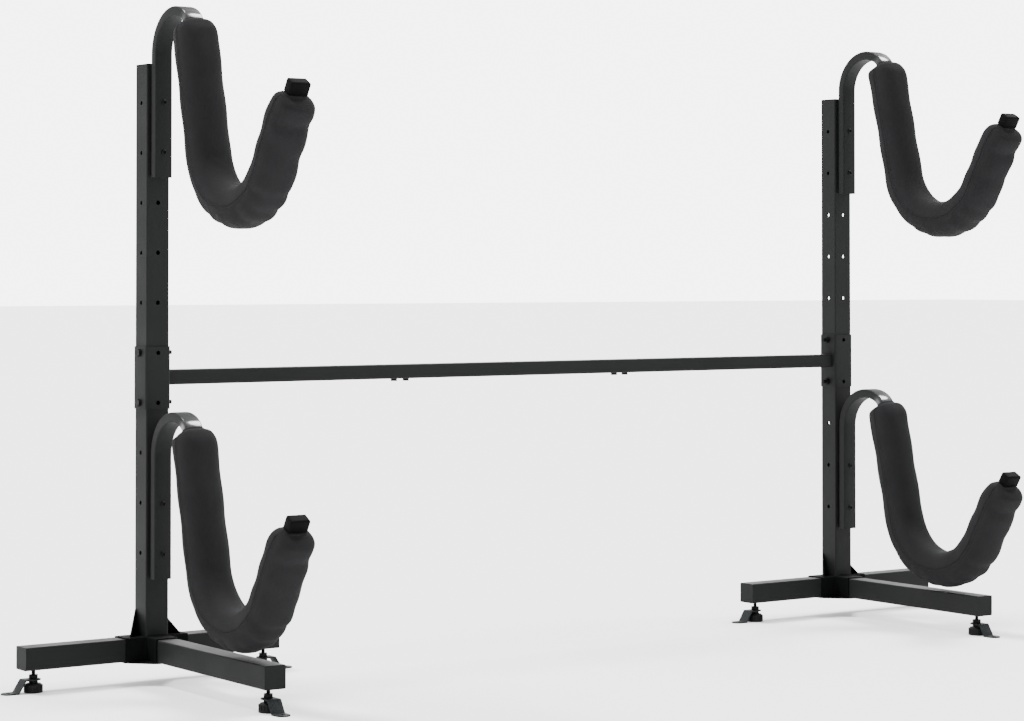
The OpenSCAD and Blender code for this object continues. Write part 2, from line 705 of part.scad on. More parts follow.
module splice_bolts() color(plain_steel) for (x = [seam_left, seam_right]) splice_bolt_set(x);
module coupler_bolts() color(plain_steel)
  for (side = [LEFT, RIGHT]) at_coupler_bolt(side) hex_bolt(coupler_bolt_length, true);
module coupler_nuts() color(plain_steel)
  for (side = [LEFT, RIGHT]) at_coupler_bolt(side) translate([0, 0, coupler_size]) nut(true);
module arm_bolts() color(plain_steel)
  for (side = [LEFT, RIGHT], step = [upper_arm_step, lower_arm_step])
    at_arm_bolt(side, step) socket_bolt(arm_bolt_length);
module arm_nuts() color(plain_steel)
  for (side = [LEFT, RIGHT], step = [upper_arm_step, lower_arm_step])
    at_arm_bolt(side, step) translate([0, 0, arm_thick + arm_gap + post_size]) nut(true);
module arm_spacers() color(rubber)
  for (side = [LEFT, RIGHT], step = [upper_arm_step, lower_arm_step]) spacer_pair(side, step);
module left_upper_arm() color(steel) at_arm(LEFT, upper_arm_step) cradle_arm();
module left_lower_arm() color(steel) at_arm(LEFT, lower_arm_step) cradle_arm();
module right_upper_arm() color(steel) at_arm(RIGHT, upper_arm_step) cradle_arm();
module right_lower_arm() color(steel) at_arm(RIGHT, lower_arm_step) cradle_arm();
module left_arm_caps() color(rubber)
  for (step = [upper_arm_step, lower_arm_step]) at_arm(LEFT, step) arm_cap();
module right_arm_caps() color(rubber)
  for (step = [upper_arm_step, lower_arm_step]) at_arm(RIGHT, step) arm_cap();
module left_upper_pad() color(cloth) at_arm(LEFT, upper_arm_step) cradle_pad();
module left_lower_pad() color(cloth) at_arm(LEFT, lower_arm_step) cradle_pad();
module right_upper_pad() color(cloth) at_arm(RIGHT, upper_arm_step) cradle_pad();
module right_lower_pad() color(cloth) at_arm(RIGHT, lower_arm_step) cradle_pad();
module left_outer_strap() color(steel) at_foot(LEFT, 0) anchor_strap();
module left_inner_strap() color(steel) at_foot(LEFT, 1) anchor_strap();
module left_front_strap() color(steel) at_foot(LEFT, 2) anchor_strap();
module right_outer_strap() color(steel) at_foot(RIGHT, 0) anchor_strap();
module right_inner_strap() color(steel) at_foot(RIGHT, 1) anchor_strap();
module right_front_strap() color(steel) at_foot(RIGHT, 2) anchor_strap();
module left_outer_foot() color(rubber) at_foot(LEFT, 0) foot_pad();
module left_inner_foot() color(rubber) at_foot(LEFT, 1) foot_pad();
module left_front_foot() color(rubber) at_foot(LEFT, 2) foot_pad();
module right_outer_foot() color(rubber) at_foot(RIGHT, 0) foot_pad();
module right_inner_foot() color(rubber) at_foot(RIGHT, 1) foot_pad();
module right_front_foot() color(rubber) at_foot(RIGHT, 2) foot_pad();
module left_outer_stud() color(plain_steel) at_foot(LEFT, 0) foot_stud();
module left_inner_stud() color(plain_steel) at_foot(LEFT, 1) foot_stud();
module left_front_stud() color(plain_steel) at_foot(LEFT, 2) foot_stud();
module right_outer_stud() color(plain_steel) at_foot(RIGHT, 0) foot_stud();
module right_inner_stud() color(plain_steel) at_foot(RIGHT, 1) foot_stud();
module right_front_stud() color(plain_steel) at_foot(RIGHT, 2) foot_stud();
module foot_thread_inserts() color(plain_steel)
  for (side = [LEFT, RIGHT], kind = [0, 1, 2]) thread_insert(side, kind);

left_base_hub();
right_base_hub();
left_gusset_plates();
right_gusset_plates();
left_outer_leg();
left_inner_leg();
left_front_leg();
right_outer_leg();
right_inner_leg();
right_front_leg();
leg_end_caps();
left_lower_post();
right_lower_post();
left_upper_post();
right_upper_post();
left_post_cap();
right_post_cap();
left_post_coupler();
right_post_coupler();
left_crossbar();
middle_crossbar();
right_crossbar();
left_splice_insert();
right_splice_insert();
splice_bolts();
coupler_bolts();
coupler_nuts();
arm_bolts();
arm_nuts();
arm_spacers();
left_upper_arm();
left_lower_arm();
right_upper_arm();
right_lower_arm();
left_arm_caps();
right_arm_caps();
left_upper_pad();
left_lower_pad();
right_upper_pad();
right_lower_pad();
left_outer_strap();
left_inner_strap();
left_front_strap();
right_outer_strap();
right_inner_strap();
right_front_strap();
left_outer_foot();
left_inner_foot();
left_front_foot();
right_outer_foot();
right_inner_foot();
right_front_foot();
left_outer_stud();
left_inner_stud();
left_front_stud();
right_outer_stud();
right_inner_stud();
right_front_stud();
foot_thread_inserts();
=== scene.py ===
import json
import math

import bmesh
import bpy
import numpy as np
from mathutils import Matrix


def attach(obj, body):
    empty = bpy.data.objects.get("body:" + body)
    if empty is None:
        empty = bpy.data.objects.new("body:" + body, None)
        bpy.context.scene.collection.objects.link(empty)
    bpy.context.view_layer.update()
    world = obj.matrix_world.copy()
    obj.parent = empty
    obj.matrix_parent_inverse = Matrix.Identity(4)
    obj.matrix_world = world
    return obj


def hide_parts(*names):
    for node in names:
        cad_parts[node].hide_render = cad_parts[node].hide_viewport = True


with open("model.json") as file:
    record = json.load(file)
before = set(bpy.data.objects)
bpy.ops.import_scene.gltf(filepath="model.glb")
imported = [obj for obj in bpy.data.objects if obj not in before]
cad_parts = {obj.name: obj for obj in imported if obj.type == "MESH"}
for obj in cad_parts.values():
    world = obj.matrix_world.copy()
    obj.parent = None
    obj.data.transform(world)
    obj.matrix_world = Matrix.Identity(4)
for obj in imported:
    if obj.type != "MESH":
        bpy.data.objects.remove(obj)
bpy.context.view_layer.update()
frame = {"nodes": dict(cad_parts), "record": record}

print("frame loaded:", len(frame["nodes"]), "nodes")

# Where things are, in millimetres: the post axes, the arms' lower ends, the legs' ends and the feet
rack = {
    "postX": {"left": -919.0, "right": 919.0},
    "postY": 277.671,
    "armFoot": {"upper": 1007.025, "lower": 207.025},
    "sideReach": 282.5,
    "frontReach": 494.0,
    "footInset": 26.0,
}
tiny = 1e-9      # shortest length that anything is divided by

# Camera solved from the straight tubes of the photograph: metres, and millimetres for lens and sensor
view = {
    "place": (-3.3826, -4.4757, 0.8116),
    "ahead": (0.5758, 0.8175, 0.0159),
    "lens": 92.86,
    "sensor": 36.0,
    "shiftX": -0.0003,
    "shiftY": -0.1241,
}


def facingMatrix(place, back):
    # Turns an object so that its own z axis points along back, with its x axis level
    back = np.array(back, float) / np.linalg.norm(back)
    right = np.cross((0, 0, 1), back)
    right /= np.linalg.norm(right)
    matrix = np.eye(4)
    matrix[:3] = np.stack([right, np.cross(back, right), back, place], axis=-1)
    return Matrix(matrix.tolist())


def makeCamera():
    camera = bpy.data.objects.new("camera", bpy.data.cameras.new("camera"))
    bpy.context.scene.collection.objects.link(camera)
    camera.data.lens = view["lens"]
    camera.data.sensor_width = view["sensor"]
    camera.data.shift_x = view["shiftX"]
    camera.data.shift_y = view["shiftY"]
    camera.matrix_world = facingMatrix(view["place"], -np.array(view["ahead"]))
    bpy.context.scene.camera = camera


makeCamera()
print("camera placed")


def linearColour(code):
    # sRGB hex to linear: c / 12.92 below 0.04045, else ((c + 0.055) / 1.055) to the power 2.4
    parts = [int(code[i:i + 2], 16) / 255 for i in (1, 3, 5)]
    return tuple(p / 12.92 if p <= 0.04045 else ((p + 0.055) / 1.055) ** 2.4 for p in parts) + (1.0,)


def fillInputs(tree, node, inputs):
    # Gives each input a value, or links it to another node's output
    for key, value in inputs.items():
        if isinstance(value, bpy.types.NodeSocket):
            tree.links.new(value, node.inputs[key])
        else:
            node.inputs[key].default_value = value


def addNode(tree, kind, inputs=None, **settings):
    # Adds a node, sets its settings, then fills its inputs
    node = tree.nodes.new(kind)
    for key, value in settings.items():
        setattr(node, key, value)
    fillInputs(tree, node, inputs or {})
    return node


def newMaterial(name):
    material = bpy.data.materials.new(name)
    material.use_nodes = True
    tree = material.node_tree
    return material, tree, tree.nodes["Principled BSDF"]


def blendColours(tree, factor, first, second):
    ends = {"Factor": factor, "A": linearColour(first), "B": linearColour(second)}
    return addNode(tree, "ShaderNodeMix", ends, data_type="RGBA").outputs["Result"]


noiseLow, noiseHigh = 0.3, 0.7      # most of a noise's values lie between these


def spread(tree, value, low, high):
    # Maps the middle of a noise onto a range
    ends = {"From Min": noiseLow, "From Max": noiseHigh, "To Min": low, "To Max": high}
    return addNode(tree, "ShaderNodeMapRange", {"Value": value, **ends}).outputs["Result"]


# Powder coat, sprayed dry on steel tube and baked: satin, with a fine orange peel that breaks
# the reflections, a slightly thinner, paler film here and there, and a polish where it is rubbed
powderCoat = {
    "dark": "#0a0b0b", "pale": "#111313",
    "patch": 0.12,       # metres across the slow changes of film
    "peel": 0.0016,      # real peel is about 1 mm; drawn a little coarser so that it shows
    "peelDepth": 0.00006,
    "rough": (0.60, 0.72),
    "gloss": 0.16,
    "rubbed": 0.14,      # roughness where a cover or hand has polished the film
    "rubbedIor": 1.6,
}
# The welded hubs and gussets are duller, and painted blacker than the tubes: their darker colour is painted
# shade for the shadow that falls between the post and the sockets
paintedShadeCoat = {**powderCoat, "dark": "#050606", "pale": "#090a0a", "rough": (0.75, 0.85), "gloss": 0.04}


def paintedSteel(name, coat):
    material, tree, shader = newMaterial(name)
    place = addNode(tree, "ShaderNodeTexCoord").outputs["Object"]
    patches = {"Vector": place, "Scale": 1 / coat["patch"], "Detail": 3.0}
    film = addNode(tree, "ShaderNodeTexNoise", patches).outputs["Fac"]
    ripples = {"Vector": place, "Scale": 1 / coat["peel"], "Detail": 1.0}
    peel = addNode(tree, "ShaderNodeTexNoise", ripples).outputs["Fac"]
    relief = {"Height": peel, "Distance": coat["peelDepth"], "Strength": 1.0}
    fillInputs(tree, shader, {
        "Base Color": blendColours(tree, film, coat["dark"], coat["pale"]),
        "Roughness": spread(tree, film, *coat["rough"]),
        "Normal": addNode(tree, "ShaderNodeBump", relief).outputs["Normal"],
        "Specular IOR Level": coat["gloss"],
        "Coat Weight": addNode(tree, "ShaderNodeAttribute", attribute_name="rubbed").outputs["Fac"],
        "Coat Roughness": coat["rubbed"],
        "Coat IOR": coat["rubbedIor"],
    })
    return material


# Woven polyester cover, about 600 denier: matt, soft sheen at glancing angles, threads over and under
wovenCloth = {
    "dark": "#1a1a1b", "pale": "#242425",
    "thread": 0.0010,    # real spacing is 0.5 mm; drawn at twice that so that it shows close up
    "depth": 0.00022,
    "relief": 0.6,
    "patch": 0.06,       # metres across the faded places
    "rough": 0.86,
    "sheen": 0.01,
    "sheenRough": 0.5,
    "gloss": 0.04,
}


def wovenPolyester():
    # Warp and weft are waves across each other, and a chequer says which of the two lies on top
    material, tree, shader = newMaterial("wovenPolyester")
    flat = addNode(tree, "ShaderNodeUVMap", uv_map="cloth").outputs["UV"]
    place = addNode(tree, "ShaderNodeTexCoord").outputs["Object"]
    waveScale = math.pi / 10 / (2 * wovenCloth["thread"])      # at scale 1 a wave repeats every pi / 10
    threads = {"Vector": flat, "Scale": waveScale}
    warp = addNode(tree, "ShaderNodeTexWave", threads, bands_direction="X")
    weft = addNode(tree, "ShaderNodeTexWave", threads, bands_direction="Y")
    over = addNode(tree, "ShaderNodeTexChecker", {"Vector": flat, "Scale": 1 / wovenCloth["thread"]})
    crossing = {"Factor": over.outputs["Fac"], "A": warp.outputs["Fac"], "B": weft.outputs["Fac"]}
    height = addNode(tree, "ShaderNodeMix", crossing).outputs["Result"]
    faded = {"Vector": place, "Scale": 1 / wovenCloth["patch"], "Detail": 3.0}
    fade = addNode(tree, "ShaderNodeTexNoise", faded).outputs["Fac"]
    # Paler on the threads' crowns and darker in the valleys between them, a painted shade in the weave,
    # scaled by the random fade
    shade = addNode(tree, "ShaderNodeMath", {0: fade, 1: height}, operation="MULTIPLY").outputs["Value"]
    relief = {"Height": height, "Distance": wovenCloth["depth"], "Strength": wovenCloth["relief"]}
    fillInputs(tree, shader, {
        "Base Color": blendColours(tree, shade, wovenCloth["dark"], wovenCloth["pale"]),
        "Normal": addNode(tree, "ShaderNodeBump", relief).outputs["Normal"],
        "Roughness": wovenCloth["rough"],
        "Sheen Weight": wovenCloth["sheen"],
        "Sheen Roughness": wovenCloth["sheenRough"],
        "Specular IOR Level": wovenCloth["gloss"],
    })
    return material


# Moulded parts: EPDM rubber caps and spacers, nylon plugs, rubber feet. A fine spark-eroded
# grain of the mould, dull, with a cloudy bloom. Grain and depth in metres
mouldedParts = {
    "mouldedRubber": {"dark": "#040404", "pale": "#080809", "grain": 0.0009, "depth": 0.00005,
                      "rough": 0.68, "gloss": 0.04},
    "gripRubber": {"dark": "#090909", "pale": "#111111", "grain": 0.0012, "depth": 0.00008,
                   "rough": 0.68, "gloss": 0.2},
    "mouldedNylon": {"dark": "#0a0b0b", "pale": "#101212", "grain": 0.0008, "depth": 0.00004,
                     "rough": 0.66, "gloss": 0.15},
}
bloomAcross = 1 / 60      # metres, so clouds of 17 mm


def mouldedPlastic(name):
    spec = mouldedParts[name]
    material, tree, shader = newMaterial(name)
    place = addNode(tree, "ShaderNodeTexCoord").outputs["Object"]
    clouds = {"Vector": place, "Scale": 1 / bloomAcross, "Detail": 3.0}
    bloom = addNode(tree, "ShaderNodeTexNoise", clouds).outputs["Fac"]
    grains = {"Vector": place, "Scale": 1 / spec["grain"], "Detail": 1.0}
    grain = addNode(tree, "ShaderNodeTexNoise", grains).outputs["Fac"]
    relief = {"Height": grain, "Distance": spec["depth"], "Strength": 1.0}
    fillInputs(tree, shader, {
        "Base Color": blendColours(tree, bloom, spec["dark"], spec["pale"]),
        "Normal": addNode(tree, "ShaderNodeBump", relief).outputs["Normal"],
        "Roughness": spec["rough"],
        "Specular IOR Level": spec["gloss"],
    })
    return material


# Steel parts: dark passivated straps, plain inserts, black zinc fasteners. The dark films hide nearly
# all of the metal's shine and the plain steel keeps it; both are cloudy, in spangles. Spangle in metres
platedParts = {
    "passivatedSteel": {"dark": "#08090a", "pale": "#25292a", "rough": (0.62, 0.8), "spangle": 0.003,
                        "metal": 0.05, "gloss": 0.12},
    "plainSteel": {"dark": "#6f7271", "pale": "#8d908f", "rough": (0.32, 0.5), "spangle": 0.008,
                   "metal": 0.85, "gloss": 0.5},
    "blackZincSteel": {"dark": "#060606", "pale": "#0c0d0d", "rough": (0.45, 0.6), "spangle": 0.008,
                       "metal": 0.1, "gloss": 0.1},
}


def platedSteel(name):
    spec = platedParts[name]
    material, tree, shader = newMaterial(name)
    place = addNode(tree, "ShaderNodeTexCoord").outputs["Object"]
    spangles = {"Vector": place, "Scale": 1 / spec["spangle"], "Detail": 4.0}
    cloud = addNode(tree, "ShaderNodeTexNoise", spangles).outputs["Fac"]
    fillInputs(tree, shader, {
        "Base Color": blendColours(tree, spread(tree, cloud, 0.0, 1.0), spec["dark"], spec["pale"]),
        "Roughness": spread(tree, cloud, *spec["rough"]),
        "Metallic": spec["metal"],
        "Specular IOR Level": spec["gloss"],
    })
    return material


# Bonded nylon sewing thread: a twisted cord, near the colour of the cloth
nylonThread = {"dark": "#0e0e0f", "pale": "#161617", "rough": 0.75, "gloss": 0.1,
               "twistScale": 260.0}      # ridges 1.4 mm apart


def sewingThread():
    material, tree, shader = newMaterial("bondedNylonThread")
    place = addNode(tree, "ShaderNodeTexCoord").outputs["Object"]
    ridges = {"Vector": place, "Scale": nylonThread["twistScale"]}
    twist = addNode(tree, "ShaderNodeTexWave", ridges, bands_direction="DIAGONAL").outputs["Fac"]
    fillInputs(tree, shader, {
        "Base Color": blendColours(tree, twist, nylonThread["dark"], nylonThread["pale"]),
        "Roughness": nylonThread["rough"],
        "Specular IOR Level": nylonThread["gloss"],
    })
    return material


finishes = {
    "frame_paint": paintedSteel("powderCoatedSteel", powderCoat),
    "pad_cloth": wovenPolyester(),
    "foot_rubber": mouldedPlastic("gripRubber"),
    "cap_plastic": mouldedPlastic("mouldedNylon"),
    "arm_cap_rubber": mouldedPlastic("mouldedRubber"),
    "strap_steel": platedSteel("passivatedSteel"),
    "black_fastener": platedSteel("blackZincSteel"),
    "insert_steel": platedSteel("plainSteel"),
}
thread = sewingThread()
# Coat for the hubs and gussets: darker colour as painted shade, duller finish
paintedShadeBlack = paintedSteel("paintedShadeMattBlack", paintedShadeCoat)

for part in frame["record"]["subparts"]:
    mesh = frame["nodes"][part["node"]].data
    mesh.materials.clear()
    # Hubs and gussets take the coat darkened with painted shade
    shadedPart = part["node"].endswith(("gusset_plates", "base_hub"))
    mesh.materials.append(paintedShadeBlack if shadedPart else finishes[part["material_slot"]])
print("finishes made:", len(finishes))


def gridFaces(rows, columns, wrapRows=False):
    # Quads between neighbouring rings; each ring closes on itself
    ring = np.arange(rows if wrapRows else rows - 1)[:, None]
    step = np.arange(columns)[None, :]
    nextRing, nextStep = (ring + 1) % rows, (step + 1) % columns
    quads = np.stack([ring * columns + step, ring * columns + nextStep,
                      nextRing * columns + nextStep, nextRing * columns + step], axis=-1)
    return quads.reshape(-1, 4).tolist()


def closedFaces(rows, columns):
    # The same quads, and a flat face that closes each end
    ends = [list(range(columns))[::-1], list(range((rows - 1) * columns, rows * columns))]
    return gridFaces(rows, columns) + ends


def ringBody(rings):
    # Rings joined by quads, closed by a flat face at both ends
    rings = np.asarray(rings, float)
    return rings.reshape(-1, 3), closedFaces(*rings.shape[:2])


def joined(bodies):
    # Several closed bodies, given as (points, faces), as one
    points, faces, count = [], [], 0
    for bodyPoints, bodyFaces in bodies:
        points.append(bodyPoints)
        faces += [[i + count for i in face] for face in bodyFaces]
        count += len(bodyPoints)
    return np.concatenate(points), faces


def newPiece(name, points, faces, slotName, body="rack", finish=None, sharp=None):
    # Makes a piece from points in metres. Faces turn outward; edges sharper than sharp degrees stay hard
    mesh = bpy.data.meshes.new(name)
    mesh.from_pydata(np.asarray(points).reshape(-1, 3).tolist(), [], faces)
    work = bmesh.new()
    work.from_mesh(mesh)
    bmesh.ops.recalc_face_normals(work, faces=work.faces)
    work.to_mesh(mesh)
    work.free()
    mesh.materials.append(finish or finishes[slotName])
    mesh.polygons.foreach_set("use_smooth", np.full(len(mesh.polygons), True))
    if sharp:
        mesh.set_sharp_from_angle(angle=math.radians(sharp))
    mesh.update()
    piece = bpy.data.objects.new(name, mesh)
    bpy.context.scene.collection.objects.link(piece)
    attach(piece, body)
    return piece


# Path of the cradle arm: upright, open bend, tight bend, drop, cradle, rise. Millimetres and degrees
armShape = {
    "start": 39.3, "upright": 245.0, "bendRadius": 80.5, "bendTurn": 115.0,
    "tightRadius": 42.4, "tightTurn": 51.5, "drop": 256.4,
    "cradleRadius": 135.2, "cradleTurn": 135.95, "rise": 182.0,
    "width": 38.0, "thick": 20.0, "wall": 1.8, "corner": 3.5,
    "rubAt": 422.0, "rubHalf": 9.0,       # the cover's hem polishes the tight bend
    "sharp": 50.0,
}
pathParts = [(armShape["upright"], 0.0),
             (math.radians(armShape["bendTurn"]) * armShape["bendRadius"], -armShape["bendRadius"]),
             (math.radians(armShape["tightTurn"]) * armShape["tightRadius"], -armShape["tightRadius"]),
             (armShape["drop"], 0.0),
             (math.radians(armShape["cradleTurn"]) * armShape["cradleRadius"], armShape["cradleRadius"]),
             (armShape["rise"], 0.0)]
armLength = sum(length for length, radius in pathParts)
# Where the tube's rings lie along the arm, in millimetres: close together on the bends
tubeStations = {
    "upright": [0.0, 120.0],
    "topBends": np.linspace(245, 450, 70),
    "drop": [575.0, 706.0],
    "cradle": np.linspace(707, 1028, 60),
    "rise": [1100.0, armLength],
}


def partPoint(x, z, heading, radius, d):
    # The point and heading d along one part of the path. A straight part goes d along the heading;
    # on a bend of radius r the heading turns by d / r and the point goes round the bend's centre
    if not radius:
        return x + d * math.cos(heading), z + d * math.sin(heading), heading + 0 * d
    a = heading + d / radius
    return x + radius * (np.sin(a) - math.sin(heading)), z - radius * (np.cos(a) - math.cos(heading)), a


def armPath(s):
    # Walks the six parts of the path, and the first and last go on past the arm's ends.
    # Gives distance in front of the post axis, height, and heading in radians, each an array
    s = np.asarray(s, float)
    x, z, heading, walked = armShape["start"], 0.0, math.pi / 2, 0.0
    found = np.zeros_like(s), np.zeros_like(s), np.zeros_like(s)
    for i, (length, radius) in enumerate(pathParts):
        low = -np.inf if i == 0 else walked
        high = np.inf if i == len(pathParts) - 1 else walked + length
        here = (s >= low) & (s <= high)
        for kept, values in zip(found, partPoint(x, z, heading, radius, s - walked)):
            kept[here] = values[here]
        x, z, heading = partPoint(x, z, heading, radius, length)
        walked += length
    return found


def alongArm(s, across, out):
    # Points across the arm and out of it, to the right of its heading, as [across, forward, height]
    x, z, a = armPath(s)
    return np.stack(np.broadcast_arrays(across, x + out * np.sin(a), z - out * np.cos(a)), axis=-1)


def atArm(side, level, points):
    # From [across, forward, height] at an arm to metres in the frame
    return (points * (1, -1, 1) + (rack["postX"][side], rack["postY"], rack["armFoot"][level])) / 1000


def roundedBox(halfWide, halfOut, corner, perCorner=5):
    # Closed outline: a quarter circle at each corner of a smaller box, counter-clockwise
    a = np.linspace(0, math.pi / 2, perCorner)
    quarters = [(np.cos(a + k * math.pi / 2) * corner + sx * (halfWide - corner),
                 np.sin(a + k * math.pi / 2) * corner + sy * (halfOut - corner))
                for k, (sx, sy) in enumerate([(1, 1), (-1, 1), (-1, -1), (1, -1)])]
    return np.concatenate([q[0] for q in quarters]), np.concatenate([q[1] for q in quarters])


def bentTube():
    # A closed wall carried along the path: for each station the outline lies in the plane square to
    # the heading, offset by (across) and (out); the outer skin goes up the arm, the inner one back down.
    # The rub is a bell curve round its place
    step = np.concatenate(list(tubeStations.values()))
    rings = []
    for inset, order in ((0.0, slice(None)), (armShape["wall"], slice(None, None, -1))):
        wide, out = roundedBox(armShape["width"] / 2 - inset, armShape["thick"] / 2 - inset,
                               armShape["corner"] - inset)
        rings.append(alongArm(step[order, None], wide[None, :], out[None, :]))
    rings = np.concatenate(rings)
    away = (np.concatenate([step, step[::-1]]) - armShape["rubAt"]) / armShape["rubHalf"]
    rub = np.repeat(np.exp(-away ** 2), rings.shape[1])
    return rings, gridFaces(len(rings), rings.shape[1], wrapRows=True), rub


def makeArms():
    rings, faces, rub = bentTube()
    for side in rack["postX"]:
        for level in rack["armFoot"]:
            piece = newPiece(f"{side}_{level}_bent_arm", atArm(side, level, rings), faces, "frame_paint",
                             sharp=armShape["sharp"])
            piece.data.attributes.new("rubbed", "FLOAT", "POINT").data.foreach_set("value", rub)
            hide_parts(f"{side}_{level}_arm")


makeArms()
print("arms bent")


# Padded sleeve over the drop, cradle and rise of an arm: an inner and an outer panel of cloth sewn
# together along both sides over foam, drawn in at both hems. Millimetres
padShape = {
    "from": 430.25, "to": armLength - 24.0,               # places along the arm
    "halfWide": 42.2, "halfThick": 41.6, "square": 2.7,   # full pad, and its superellipse's power
    "hemWide": 23.4, "hemThick": 14.4,                    # half sizes too
    "drawTop": {"inner": 33.0, "outer": 20.0},            # lengths over which it draws in to its hems
    "drawEnd": {"inner": 52.0, "outer": 16.0},
    "hem": 4.0,                    # straight sewn part before the cover swells
    "hemEdge": 1.2,                 # the hem's rolled edge
    "hemRoll": [-1.2, 0.6, -0.5],   # how far the hem's three rings stand out, from its end inward
    "hemGap": 1.5,                  # from the hem to the first ring of the swollen part
    "rings": 144,
    "crowding": 0.045,              # draws the rings together towards both hems
    "heldRings": 4,                 # rings at either end that stay in place and have no groove
    "slack": 1.2,                   # how far the start shape lies inside the finished one
    "cap": 6.0,                     # farthest that the cloth may move
    "girth": 0.27,                  # metres of cloth round the sleeve, for the weave
    "wobble": {"upper": 0.7, "lower": 1.3},
}
# Dips along the outer side, where the cover is pulled over the foam: (place along the arm, depth,
# half length), from the tip down
padDips = [(1170.0, 2.4, 6.0), (1126.0, 5.2, 13.0), (1060.0, 1.6, 16.0), (988.0, 4.2, 8.0),
           (956.0, 3.4, 8.0), (921.0, 3.0, 9.0), (880.0, 2.6, 8.0), (846.0, 3.4, 9.0),
           (815.0, 3.0, 8.0), (762.0, 2.0, 12.0)]
dipReach = 0.25      # how far the dips reach round to the sides, as a cosine
# Columns of points round the cover, in degrees from a seam: two close ones, then an even row
coverColumns = {"near": 0.8, "next": 2.2, "even": 24}
# Groove and stitches of a seam, in millimetres. A stitch goes through five stations
seams = {
    "depth": 1.7,
    "rowColumns": 2,                             # columns between the groove and each row of stitches
    "stitch": 3.6, "pitch": 5.4, "thread": 0.4,
    "ends": 4.0,                                 # bare cloth before the first stitch and after the last
    "along": [-0.5, -0.38, 0.0, 0.38, 0.5],      # shares of the stitch's length
    "rise": [-0.35, 0.15, 0.3, 0.15, -0.35],     # height over the cloth
    "thin": [0.45, 0.9, 1.0, 0.9, 0.45],         # shares of the thread's radius
    "sides": 5,
}
# Polyester pressed outward by its foam, and the slight waves that it starts from
coverCloth = {
    "quality": 5, "mass": 0.05, "stretch": 25, "shear": 12, "bending": 0.8, "damping": 12,
    "pressure": 4.0,
    "shrink": -0.012,       # cut a little larger than the start shape
    "frames": 20,
    "waveHeight": 0.6,      # millimetres
    "waveTurns": [0.041, 0.067, 0.083],      # radians for each millimetre across, forward and up
    "waveShift": 6,         # times the level's wobble, so that the two sleeves differ
}


def quarterRise(d, reach):
    # Grows from 0 to 1 over the reach as a quarter circle does, sqrt(1 - (1 - d / reach)^2)
    return np.sqrt(np.clip(1 - np.clip(1 - d / reach, 0, 1) ** 2, 0, 1))


def fullness(d, run, side):
    # From the hem's size, 0, to the full pad, 1, and back to the hem at the other end
    top, end = padShape["drawTop"][side], padShape["drawEnd"][side]
    return np.minimum(quarterRise(d, top), quarterRise(run - d, end))


def padColumns():
    # Angles round the sleeve: close together at the seam on either side of the arm, even between them
    near, beyond = coverColumns["near"], coverColumns["next"]
    even = np.linspace(beyond, 180 - beyond, coverColumns["even"])
    half = np.concatenate([[0.0, near], even, [180 - near]])
    return np.radians(np.concatenate([90 + half, 270 + half]))


def squared(v):
    # A sine or cosine v to the power 2 / n with its sign kept, which makes the circle a superellipse
    return np.sign(v) * np.abs(v) ** (2 / padShape["square"])


def padSkin(inset):
    # Rings of a superellipse |across/w|^n + |out/t|^n = 1 along the arm's path. The outer side and the
    # inner side of the cradle draw in over their own lengths, and the dips lower the outer side
    run = padShape["to"] - padShape["from"]
    hem, edge, gap = padShape["hem"], padShape["hemEdge"], padShape["hemGap"]
    t = np.linspace(0, 1, padShape["rings"])
    d = hem + gap + (run - 2 * hem - 2 * gap) * (t - padShape["crowding"] * np.sin(2 * math.pi * t))
    d = np.concatenate([[0, edge, hem], d, [run - hem, run - edge, run]])
    angle = padColumns()[None, :]
    swell = np.clip(d - hem, 0, run - 2 * hem)
    outer, inner = (fullness(swell, run - 2 * hem, side)[:, None] for side in ("outer", "inner"))
    lean = 0.5 + 0.5 * np.cos(angle)
    full = outer * lean + inner * (1 - lean)
    roll = np.zeros((len(d), 1))
    roll[:3, 0] = padShape["hemRoll"]
    roll[-3:, 0] = padShape["hemRoll"][::-1]
    hemWide, hemThick = padShape["hemWide"], padShape["hemThick"]
    wide = (hemWide + roll + (padShape["halfWide"] - inset - hemWide) * full) * squared(np.sin(angle))
    out = (hemThick + roll + (padShape["halfThick"] - inset - hemThick) * full) * squared(np.cos(angle))
    for place, depth, half in padDips:
        dip = depth * np.exp(-((d + padShape["from"] - place) / half) ** 2)[:, None]
        out = out - dip * np.clip(np.cos(angle) + dipReach, 0, 1) * full
    return d, wide, out


def puffed(points, faces, held):
    # A cover under pressure: cloth without gravity, held where held is true. Points and result in metres
    mesh = bpy.data.meshes.new("coverStart")
    mesh.from_pydata(points.tolist(), [], faces)
    cover = bpy.data.objects.new("coverStart", mesh)
    bpy.context.scene.collection.objects.link(cover)
    group = cover.vertex_groups.new(name="held")
    group.add(np.flatnonzero(held).tolist(), 1.0, "REPLACE")
    modifier = cover.modifiers.new("cloth", "CLOTH")
    cloth = modifier.settings
    cloth.quality = coverCloth["quality"]
    cloth.mass = coverCloth["mass"]
    cloth.tension_stiffness = cloth.compression_stiffness = coverCloth["stretch"]
    cloth.shear_stiffness = coverCloth["shear"]
    cloth.bending_stiffness = coverCloth["bending"]
    cloth.tension_damping = cloth.compression_damping = coverCloth["damping"]
    cloth.use_pressure = True
    cloth.uniform_pressure_force = coverCloth["pressure"]
    cloth.shrink_min = coverCloth["shrink"]
    cloth.vertex_group_mass = "held"
    cloth.effector_weights.gravity = 0.0
    modifier.collision_settings.use_collision = False
    modifier.point_cache.frame_start = 1
    modifier.point_cache.frame_end = coverCloth["frames"]
    for step in range(1, coverCloth["frames"] + 1):
        bpy.context.scene.frame_set(step)
    result = np.zeros(len(points) * 3)
    graph = bpy.context.evaluated_depsgraph_get()
    cover.evaluated_get(graph).data.vertices.foreach_get("co", result)
    bpy.data.objects.remove(cover)
    bpy.context.scene.frame_set(1)
    return result.reshape(-1, 3)


def coverFaces(rows, columns):
    # The sleeve closed by a face at both hems, turned outward so that pressure swells it
    return [face[::-1] for face in closedFaces(rows, columns)]


